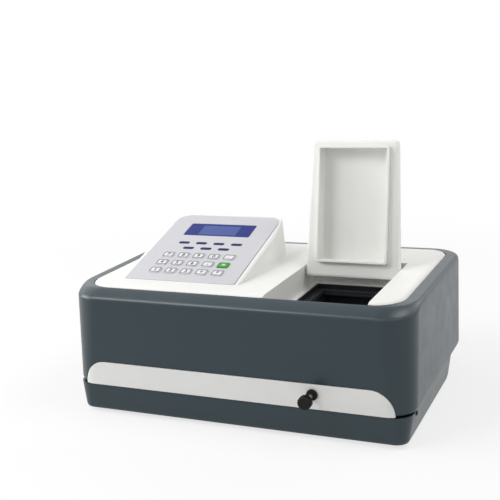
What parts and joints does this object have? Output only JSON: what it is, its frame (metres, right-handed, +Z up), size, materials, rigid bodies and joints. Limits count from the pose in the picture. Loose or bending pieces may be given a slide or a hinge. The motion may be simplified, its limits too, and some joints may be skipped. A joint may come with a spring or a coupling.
{
  "type": "bench photometer",
  "caption": "Bench photometer: rounded case, sloped console with display and keypad, sunk sample compartment under a hinged lid standing open, and a pull rod that shifts the cell carriage.",
  "frame": {"origin": "middle of the outer box at the bottom of the feet", "axes": "+X to the operator's right, +Y to the back, +Z up; the pull knob points to -Y"},
  "size_m": [0.46, 0.3426, 0.3384],
  "materials": {
    "slate": "fine moulded satin",
    "white": "fine moulded satin",
    "pale_band": "satin",
    "film": "satin film",
    "window": "clear gloss",
    "key_film": "satin",
    "green_key": "satin",
    "black_plastic": "fine texture",
    "rubber": "matte",
    "foam": "open foam",
    "steel": "ground",
    "cast_metal": "as cast",
    "sheet_metal": "plated sheet",
    "brass": "turned",
    "mirror_glass": "coated glass",
    "lamp_glass": "clear quartz",
    "circuit_board": "solder mask"
  },
  "bodies": {
    "base": {"base_tray": "slate", "case_cover": "slate", "top_cover": "white", "front_strip": "pale_band", "panel_overlay": "film", "lcd_window": "window", "lcd_module": "circuit_board", "keypad_board": "circuit_board", "lid_pad": "rubber", "compartment_tub": "black_plastic", "compartment_seal": "foam", "carriage_rails": "steel", "rod_bush": "black_plastic", "rear_panel": "sheet_metal", "mains_inlet": "black_plastic", "switch_frame": "black_plastic", "data_port": "sheet_metal", "fan_frame": "black_plastic", "mono_housing": "cast_metal", "drive_motor": "sheet_metal", "mirror_mount": "mirror_glass", "filter_motor": "sheet_metal", "lamp_house": "sheet_metal", "lamp": "lamp_glass", "detector_house": "cast_metal", "detector_board": "circuit_board", "main_board": "circuit_board", "power_supply": "sheet_metal", "foot_front_left": "rubber", "foot_front_right": "rubber", "foot_rear_left": "rubber", "foot_rear_right": "rubber"},
    "lid": {"lid_shell": "white", "lid_liner": "white", "lid_pin": "steel"},
    "carriage": {"cell_carriage": "black_plastic", "pull_rod": "steel", "rod_knob": "black_plastic"},
    "rocker": {"power_rocker": "black_plastic"},
    "fan": {"fan_rotor": "black_plastic"},
    "turntable": {"grating_table": "cast_metal", "grating": "mirror_glass"},
    "nut": {"drive_nut": "brass"},
    "leadscrew": {"drive_screw": "steel"},
    "wheel": {"filter_wheel": "black_plastic"},
    "key_1_1_body": {"key_1_1": "key_film"},
    "key_1_2_body": {"key_1_2": "key_film"},
    "key_1_3_body": {"key_1_3": "key_film"},
    "key_1_4_body": {"key_1_4": "key_film"},
    "key_1_5_body": {"key_1_5": "key_film"},
    "key_2_1_body": {"key_2_1": "key_film"},
    "key_2_2_body": {"key_2_2": "key_film"},
    "key_2_3_body": {"key_2_3": "key_film"},
    "key_2_4_body": {"key_2_4": "key_film"},
    "key_2_5_body": {"key_2_5": "green_key"},
    "key_3_1_body": {"key_3_1": "key_film"},
    "key_3_2_body": {"key_3_2": "key_film"},
    "key_3_3_body": {"key_3_3": "key_film"},
    "key_3_4_body": {"key_3_4": "key_film"},
    "key_3_5_body": {"key_3_5": "key_film"}
  },
  "joints": [
    {"name": "lid_hinge", "type": "hinge", "parent": "base", "child": "lid", "pos_m": [0.1095, 0.04945, 0.168], "axis": [1, 0, 0], "range_deg": [0, 100.5]},
    {"name": "carriage_slide", "type": "slide", "parent": "base", "child": "carriage", "axis": [0, -1, 0], "range_m": [0, 0.063]},
    {"name": "rocker_pivot", "type": "hinge", "parent": "base", "child": "rocker", "pos_m": [-0.1, 0.16195, 0.091], "axis": [1, 0, 0], "range_deg": [-14, 0]},
    {"name": "fan_spin", "type": "hinge", "parent": "base", "child": "fan", "pos_m": [0.095, 0.15675, 0.091], "axis": [0, 1, 0], "continuous": true},
    {"name": "grating_turn", "type": "hinge", "parent": "base", "child": "turntable", "pos_m": [-0.07, -0.01525, 0.055], "axis": [0, 0, 1], "range_deg": [-12, 12]},
    {"name": "nut_slide", "type": "slide", "parent": "base", "child": "nut", "axis": [0, 1, 0], "range_m": [-0.0127, 0.0127]},
    {"name": "screw_spin", "type": "hinge", "parent": "base", "child": "leadscrew", "pos_m": [-0.146, -0.01525, 0.0495], "axis": [0, 1, 0], "range_deg": [-570, 570]},
    {"name": "wheel_spin", "type": "hinge", "parent": "base", "child": "wheel", "pos_m": [-0.0175, 0.07475, 0.081], "axis": [0, 1, 0], "continuous": true},
    {"name": "key_1_1_press", "type": "slide", "parent": "base", "child": "key_1_1_body", "axis": [0, 0.2756, -0.9613], "range_m": [0, 0.001], "stiffness_N_per_m": 300, "springref_m": -0.001},
    {"name": "key_1_2_press", "type": "slide", "parent": "base", "child": "key_1_2_body", "axis": [0, 0.2756, -0.9613], "range_m": [0, 0.001], "stiffness_N_per_m": 300, "springref_m": -0.001},
    {"name": "key_1_3_press", "type": "slide", "parent": "base", "child": "key_1_3_body", "axis": [0, 0.2756, -0.9613], "range_m": [0, 0.001], "stiffness_N_per_m": 300, "springref_m": -0.001},
    {"name": "key_1_4_press", "type": "slide", "parent": "base", "child": "key_1_4_body", "axis": [0, 0.2756, -0.9613], "range_m": [0, 0.001], "stiffness_N_per_m": 300, "springref_m": -0.001},
    {"name": "key_1_5_press", "type": "slide", "parent": "base", "child": "key_1_5_body", "axis": [0, 0.2756, -0.9613], "range_m": [0, 0.001], "stiffness_N_per_m": 300, "springref_m": -0.001},
    {"name": "key_2_1_press", "type": "slide", "parent": "base", "child": "key_2_1_body", "axis": [0, 0.2756, -0.9613], "range_m": [0, 0.001], "stiffness_N_per_m": 300, "springref_m": -0.001},
    {"name": "key_2_2_press", "type": "slide", "parent": "base", "child": "key_2_2_body", "axis": [0, 0.2756, -0.9613], "range_m": [0, 0.001], "stiffness_N_per_m": 300, "springref_m": -0.001},
    {"name": "key_2_3_press", "type": "slide", "parent": "base", "child": "key_2_3_body", "axis": [0, 0.2756, -0.9613], "range_m": [0, 0.001], "stiffness_N_per_m": 300, "springref_m": -0.001},
    {"name": "key_2_4_press", "type": "slide", "parent": "base", "child": "key_2_4_body", "axis": [0, 0.2756, -0.9613], "range_m": [0, 0.001], "stiffness_N_per_m": 300, "springref_m": -0.001},
    {"name": "key_2_5_press", "type": "slide", "parent": "base", "child": "key_2_5_body", "axis": [0, 0.2756, -0.9613], "range_m": [0, 0.001], "stiffness_N_per_m": 300, "springref_m": -0.001},
    {"name": "key_3_1_press", "type": "slide", "parent": "base", "child": "key_3_1_body", "axis": [0, 0.2756, -0.9613], "range_m": [0, 0.001], "stiffness_N_per_m": 300, "springref_m": -0.001},
    {"name": "key_3_2_press", "type": "slide", "parent": "base", "child": "key_3_2_body", "axis": [0, 0.2756, -0.9613], "range_m": [0, 0.001], "stiffness_N_per_m": 300, "springref_m": -0.001},
    {"name": "key_3_3_press", "type": "slide", "parent": "base", "child": "key_3_3_body", "axis": [0, 0.2756, -0.9613], "range_m": [0, 0.001], "stiffness_N_per_m": 300, "springref_m": -0.001},
    {"name": "key_3_4_press", "type": "slide", "parent": "base", "child": "key_3_4_body", "axis": [0, 0.2756, -0.9613], "range_m": [0, 0.001], "stiffness_N_per_m": 300, "springref_m": -0.001},
    {"name": "key_3_5_press", "type": "slide", "parent": "base", "child": "key_3_5_body", "axis": [0, 0.2756, -0.9613], "range_m": [0, 0.001], "stiffness_N_per_m": 300, "springref_m": -0.001}
  ],
  "couplings": [
    {"joint": "nut_slide", "follows": "grating_turn", "m_per_rad": -0.06},
    {"joint": "screw_spin", "follows": "grating_turn", "ratio": 47.124}
  ]
}
